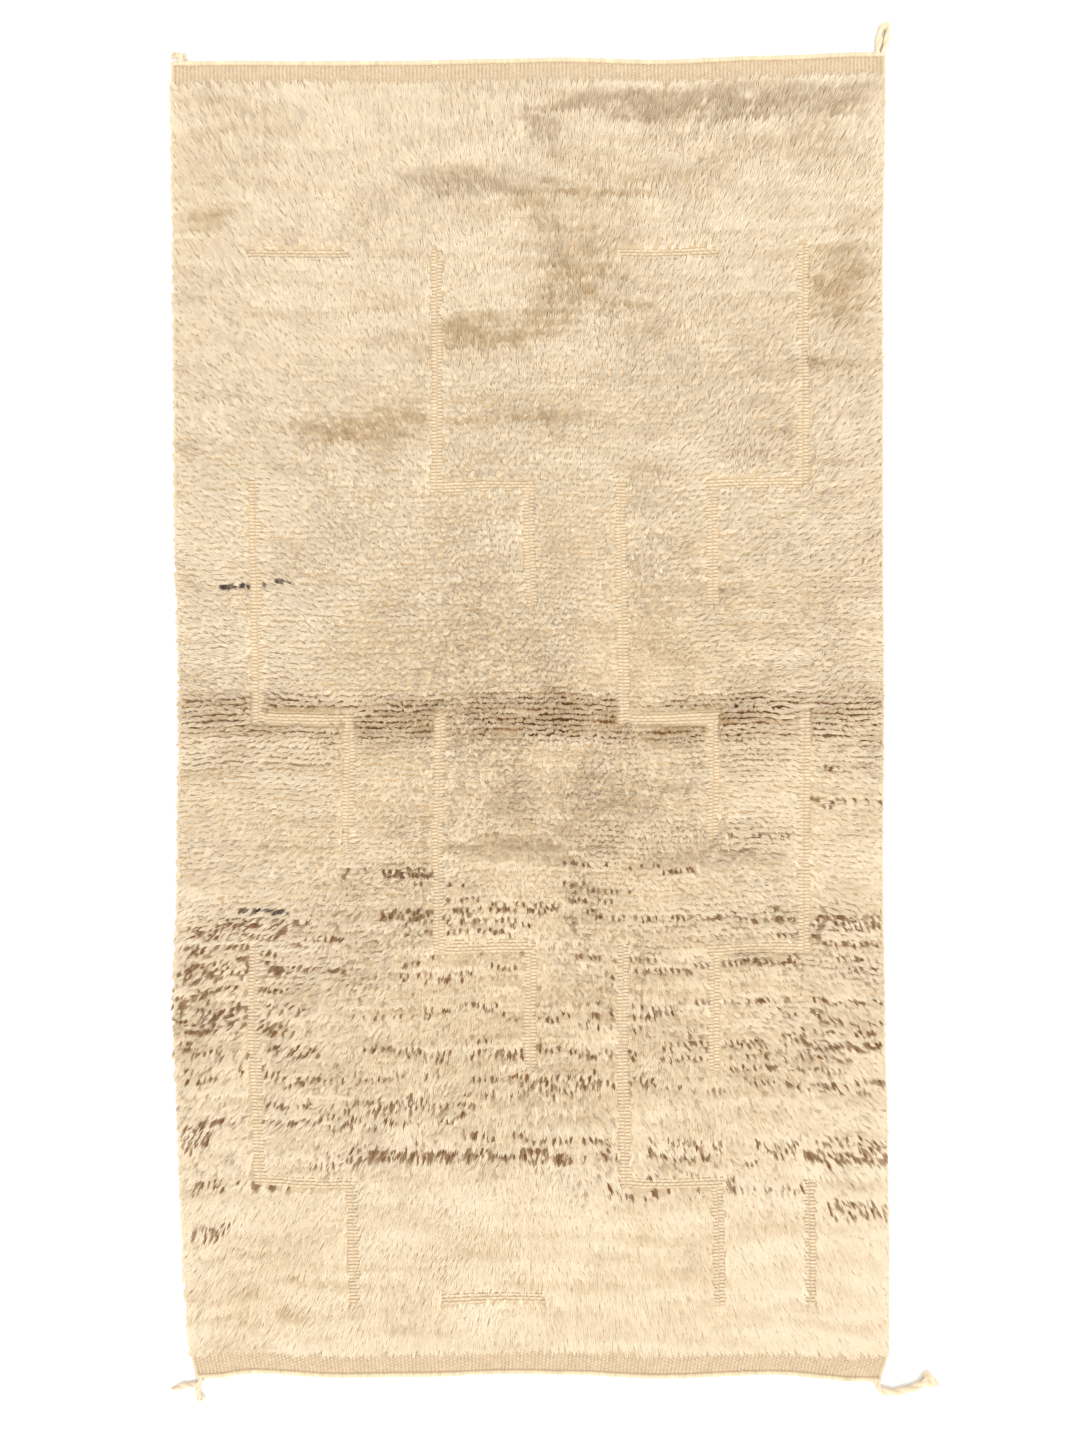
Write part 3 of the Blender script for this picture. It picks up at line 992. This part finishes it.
def wisps(foot, tip, radius, spin):
    """Three-sided strands: three points around the foot and one at the tip. The normals lean
    upwards, so that the wool takes the light softly."""
    count = len(tip)
    points, normals = np.empty((count, 4, 3)), np.empty((count, 4, 3))
    up = np.array((0.0, 0.0, 1.0))
    for corner in range(3):
        angle = spin + corner * math.tau / 3
        around = xyz(np.cos(angle), np.sin(angle), 0)
        points[:, corner] = foot + around * radius[:, None]
        normals[:, corner] = (1 - UPWARD) * around + UPWARD * up
    points[:, 3] = tip
    normals[:, 3] = up
    normals /= np.linalg.norm(normals, axis=2)[:, :, None]
    sides = np.array([(0, 1, 3), (1, 2, 3), (2, 0, 3)])
    faces = (sides[None] + 4 * np.arange(count)[:, None, None]).reshape(-1, 3)
    return points.reshape(-1, 3), normals.reshape(-1, 3), faces


def make_pile():
    """All the locks, each of a few strands, in pieces from the foot end to the head end."""
    x, y, height, lean_x, lean_y, tint, opened, shaded, slim = pile_locks()
    rng = np.random.default_rng(21)
    woven_x, woven_y = as_woven(x, y)
    middle = np.exp(-(x ** 2 + y ** 2) / STOUT_REACH ** 2)
    stout = WISP_RADIUS * (1 + STOUT_OPEN * opened + STOUT_MIDDLE * middle)
    fibre = wool_material("pile_wool", linear(140, 100, 50), 520, 30, 0.1, bump=0.3)
    pieces = []
    for number, part in enumerate(np.array_split(np.argsort(y, kind="stable"), PILE_PIECES)):
        count = len(part)
        root = xyz(woven_x[part], woven_y[part], GROUND_TOP)
        lean = xyz(lean_x[part], lean_y[part], height[part] - GROUND_TOP)
        first_turn = rng.uniform(0, math.tau, count)
        points, normals, faces, along, colours = [], [], [], [], []
        for wisp in range(WISPS):
            turn = first_turn + (wisp + rng.uniform(-0.3, 0.3, count)) * math.tau / WISPS
            out = np.stack([np.cos(turn) * slim[part], np.sin(turn) * (1 - 0.18 * opened[part])])
            foot, tip = root.copy(), root + lean
            foot[:, :2] += FOOT_SPREAD * out.T
            tip[:, :2] += TIP_SPREAD * out.T + rng.normal(0, TIP_JITTER, (count, 2))
            tip[:, 2] = GROUND_TOP + lean[:, 2] * rng.uniform(0.82, 1.08, count)
            radius = stout[part] * rng.uniform(0.8, 1.2, count)
            some, facing, corners = wisps(foot, tip, radius, rng.uniform(0, math.tau, count))
            shade = tint[part] * rng.normal(1.0, 0.015, count)[:, None]
            shade *= np.minimum(1, BRIGHTEST / shade.max(axis=1))[:, None]
            points.append(some)
            normals.append(facing)
            faces.append(corners + wisp * 4 * count)
            along.append((1 - shaded[part][:, None] * np.array([1, 1, 1, TIP_SHADE])).ravel())
            colours.append(shade.repeat(4, axis=0))
        piece = piece_of(
            f"pile_{number + 1}", np.concatenate(points), np.concatenate(faces).tolist(),
            np.concatenate(colours), np.concatenate(along), fibre,
        )
        piece.data.normals_split_custom_set_from_vertices(np.concatenate(normals).tolist())
        pieces.append(piece)
    return pieces


pile = make_pile()

# Floor and light ------------------------------------------
# A plain white floor under a pale, even sky, with one wide soft light high over the foot end.
FLOOR_REACH, FLOOR_SHADE, SKY_STRENGTH = 9, 0.9, 1.12
LAMP_STRENGTH, LAMP_SPREAD, LAMP_FROM = 1.52, 32, (0.30, -0.75, 1.6)

floor_mesh = bpy.data.meshes.new("floor")
corners = [(-1, -1), (1, -1), (1, 1), (-1, 1)]
corners = [(FLOOR_REACH * x, FLOOR_REACH * y, 0) for x, y in corners]
floor_mesh.from_pydata(corners, [], [(0, 1, 2, 3)])
floor = bpy.data.objects.new("floor", floor_mesh)
bpy.context.scene.collection.objects.link(floor)
white = bpy.data.materials.new("white_floor")
white.use_nodes = True
paint = white.node_tree.nodes["Principled BSDF"].inputs
paint["Base Color"].default_value = (FLOOR_SHADE, FLOOR_SHADE, FLOOR_SHADE, 1)
paint["Roughness"].default_value = 0.8
floor_mesh.materials.append(white)

world = bpy.data.worlds.new("studio")
world.use_nodes = True
sky = world.node_tree.nodes["Background"].inputs
sky["Color"].default_value = (1.0, 1.0, 1.0, 1.0)
sky["Strength"].default_value = SKY_STRENGTH
bpy.context.scene.world = world
lamp = bpy.data.lights.new("soft_lamp", "SUN")
lamp.angle = math.radians(LAMP_SPREAD)
lamp.energy = LAMP_STRENGTH
lamp_stand = bpy.data.objects.new("soft_lamp", lamp)
lamp_stand.rotation_euler = Vector(LAMP_FROM).to_track_quat("Z", "Y").to_euler()
bpy.context.scene.collection.objects.link(lamp_stand)
bpy.context.scene.view_settings.view_transform = "Standard"
